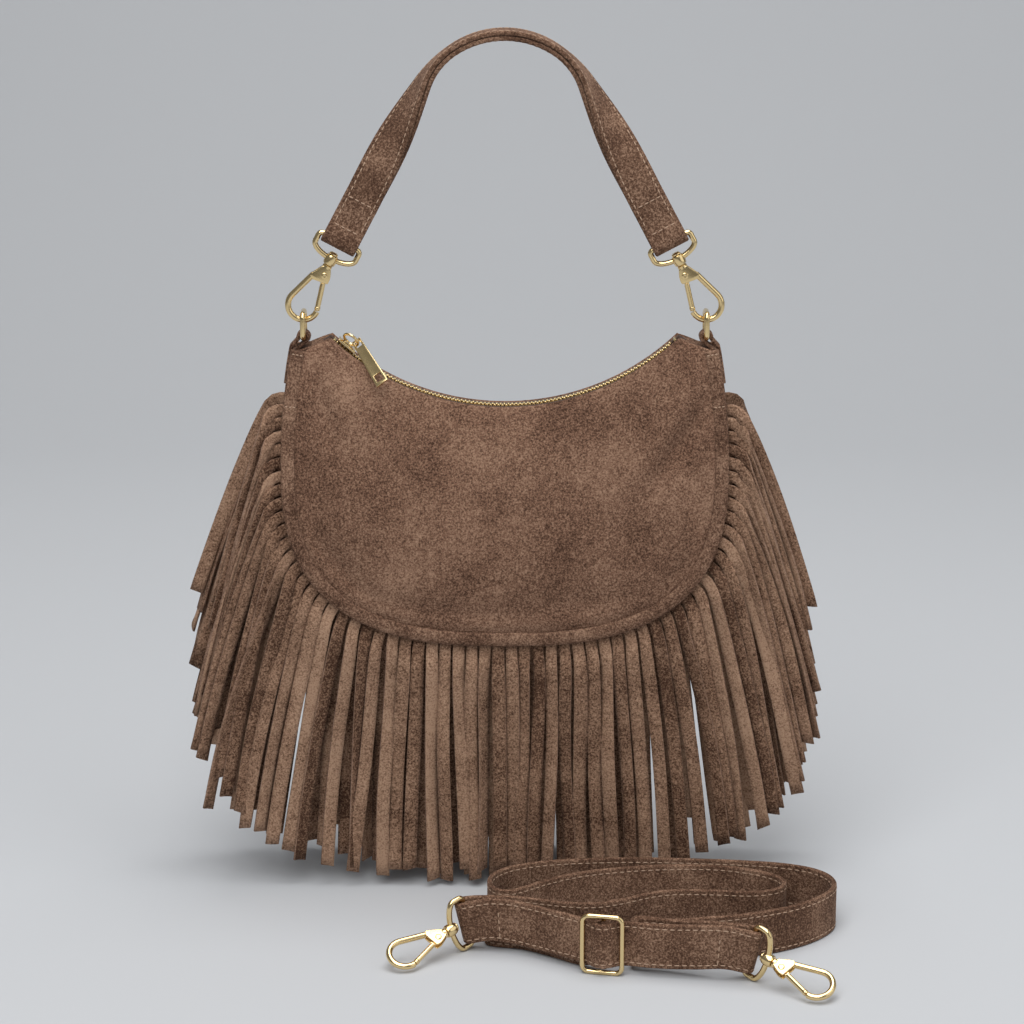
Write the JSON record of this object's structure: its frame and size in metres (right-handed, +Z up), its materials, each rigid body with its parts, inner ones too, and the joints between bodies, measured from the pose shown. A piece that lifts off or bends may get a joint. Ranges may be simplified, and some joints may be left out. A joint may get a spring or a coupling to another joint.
{
  "type": "shoulder bag",
  "caption": "Small half-round suede shoulder bag with a curved zip mouth, long hanging fringe round its seam, a clipped top handle and a loose adjustable strap.",
  "frame": {"origin": "on the floor at the tip of the middle front strand, the lowest point of the front fringe", "axes": "+Z up, +X to the right seen from the front, -Y towards the front"},
  "size_m": [0.3754, 0.2159, 0.4631],
  "materials": {
    "suede": "brushed matt suede with a soft mottled nap",
    "suede_edge": "matt suede folded over the seam and stitched",
    "suede_fringe": "matt suede cut in strands",
    "suede_strap": "matt suede in two layers with pale edge stitching",
    "lining_cloth": "plain dark woven cloth",
    "zip_cloth": "brown woven zip tape",
    "gold_metal": "polished pale gold plating"
  },
  "bodies": {
    "bag": {"front_panel": "suede", "back_panel": "suede", "gusset": "suede", "lining": "lining_cloth", "binding_front": "suede_edge", "binding_back": "suede_edge", "fringe_front": "suede_fringe", "fringe_under": "suede_fringe", "fringe_back": "suede_fringe", "tab_left": "suede_edge", "tab_right": "suede_edge", "zip_tape_front": "zip_cloth", "zip_tape_back": "zip_cloth", "zip_teeth_front": "gold_metal", "zip_teeth_back": "gold_metal", "zip_stop_left": "gold_metal", "zip_stop_right": "gold_metal", "strap_band": "suede_strap", "adjuster_frame": "gold_metal", "adjuster_bar": "gold_metal"},
    "slider": {"zip_slider": "gold_metal"},
    "pull": {"zip_pull": "gold_metal"},
    "left_ring": {"ring_left": "gold_metal"},
    "right_ring": {"ring_right": "gold_metal"},
    "handle": {"handle_band": "suede_strap", "handle_backing": "suede_strap", "handle_left_eye": "gold_metal", "handle_right_eye": "gold_metal"},
    "left_handle_hook": {"handle_left_hook": "gold_metal", "handle_left_gate_pin": "gold_metal", "handle_left_gate_spring": "gold_metal"},
    "left_handle_gate": {"handle_left_gate": "gold_metal"},
    "right_handle_hook": {"handle_right_hook": "gold_metal", "handle_right_gate_pin": "gold_metal", "handle_right_gate_spring": "gold_metal"},
    "right_handle_gate": {"handle_right_gate": "gold_metal"},
    "left_strap_eye": {"strap_left_eye": "gold_metal"},
    "left_strap_hook": {"strap_left_hook": "gold_metal", "strap_left_gate_pin": "gold_metal", "strap_left_gate_spring": "gold_metal"},
    "left_strap_gate": {"strap_left_gate": "gold_metal"},
    "right_strap_eye": {"strap_right_eye": "gold_metal"},
    "right_strap_hook": {"strap_right_hook": "gold_metal", "strap_right_gate_pin": "gold_metal", "strap_right_gate_spring": "gold_metal"},
    "right_strap_gate": {"strap_right_gate": "gold_metal"}
  },
  "joints": [
    {"name": "zip_travel", "type": "hinge", "parent": "bag", "child": "slider", "pos_m": [0, 0.0293, 0.3966], "axis": [0, -1, 0], "range_deg": [0, 79]},
    {"name": "pull_swing", "type": "hinge", "parent": "slider", "child": "pull", "pos_m": [-0.07802, 0.02799, 0.29746], "axis": [-0.0685, 0.7217, -0.6888], "range_deg": [-40, 0]},
    {"name": "left_ring_swing", "type": "hinge", "parent": "bag", "child": "left_ring", "pos_m": [-0.1069, 0.0293, 0.301], "axis": [0, 1, 0], "range_deg": [-4, 4]},
    {"name": "right_ring_swing", "type": "hinge", "parent": "bag", "child": "right_ring", "pos_m": [0.1069, 0.0293, 0.301], "axis": [0, 1, 0], "range_deg": [-4, 4]},
    {"name": "handle_swing", "type": "hinge", "parent": "bag", "child": "handle", "pos_m": [0, 0.0293, 0.314], "axis": [1, 0, 0], "range_deg": [-25, 25]},
    {"name": "left_handle_hook_turn", "type": "hinge", "parent": "handle", "child": "left_handle_hook", "pos_m": [-0.09163, 0.0293, 0.34273], "axis": [0.4695, 0, 0.8829], "range_deg": [-10, 10]},
    {"name": "left_handle_gate_open", "type": "hinge", "parent": "left_handle_hook", "child": "left_handle_gate", "pos_m": [-0.09514, 0.0293, 0.33399], "axis": [0, 1, 0], "range_deg": [0, 20], "stiffness_Nm_per_rad": 0.01, "springref_deg": -17.19},
    {"name": "right_handle_hook_turn", "type": "hinge", "parent": "handle", "child": "right_handle_hook", "pos_m": [0.09163, 0.0293, 0.34273], "axis": [-0.4695, 0, 0.8829], "range_deg": [-10, 10]},
    {"name": "right_handle_gate_open", "type": "hinge", "parent": "right_handle_hook", "child": "right_handle_gate", "pos_m": [0.09514, 0.0293, 0.33399], "axis": [0, -1, 0], "range_deg": [0, 20], "stiffness_Nm_per_rad": 0.01, "springref_deg": -17.19},
    {"name": "left_strap_eye_swing", "type": "hinge", "parent": "bag", "child": "left_strap_eye", "pos_m": [-0.0195, -0.0877, 0.01684], "axis": [-0.2067, -0.1558, 0.9659], "range_deg": [-25, 25]},
    {"name": "left_strap_hook_turn", "type": "hinge", "parent": "left_strap_eye", "child": "left_strap_hook", "pos_m": [-0.0276, -0.0938, 0.01413], "axis": [0.7714, 0.5813, 0.2588], "continuous": true},
    {"name": "left_strap_gate_open", "type": "hinge", "parent": "left_strap_hook", "child": "left_strap_gate", "pos_m": [-0.03419, -0.09989, 0.01126], "axis": [-0.089, 0.5014, -0.8606], "range_deg": [0, 20], "stiffness_Nm_per_rad": 0.01, "springref_deg": -17.19},
    {"name": "right_strap_eye_swing", "type": "hinge", "parent": "bag", "child": "right_strap_eye", "pos_m": [0.1245, -0.1257, 0.01684], "axis": [0.2067, -0.1558, 0.9659], "range_deg": [-25, 25]},
    {"name": "right_strap_hook_turn", "type": "hinge", "parent": "right_strap_eye", "child": "right_strap_hook", "pos_m": [0.1326, -0.1318, 0.01413], "axis": [-0.7714, 0.5813, 0.2588], "continuous": true},
    {"name": "right_strap_gate_open", "type": "hinge", "parent": "right_strap_hook", "child": "right_strap_gate", "pos_m": [0.13919, -0.13789, 0.01126], "axis": [-0.089, -0.5014, 0.8606], "range_deg": [0, 20], "stiffness_Nm_per_rad": 0.01, "springref_deg": -17.19}
  ]
}
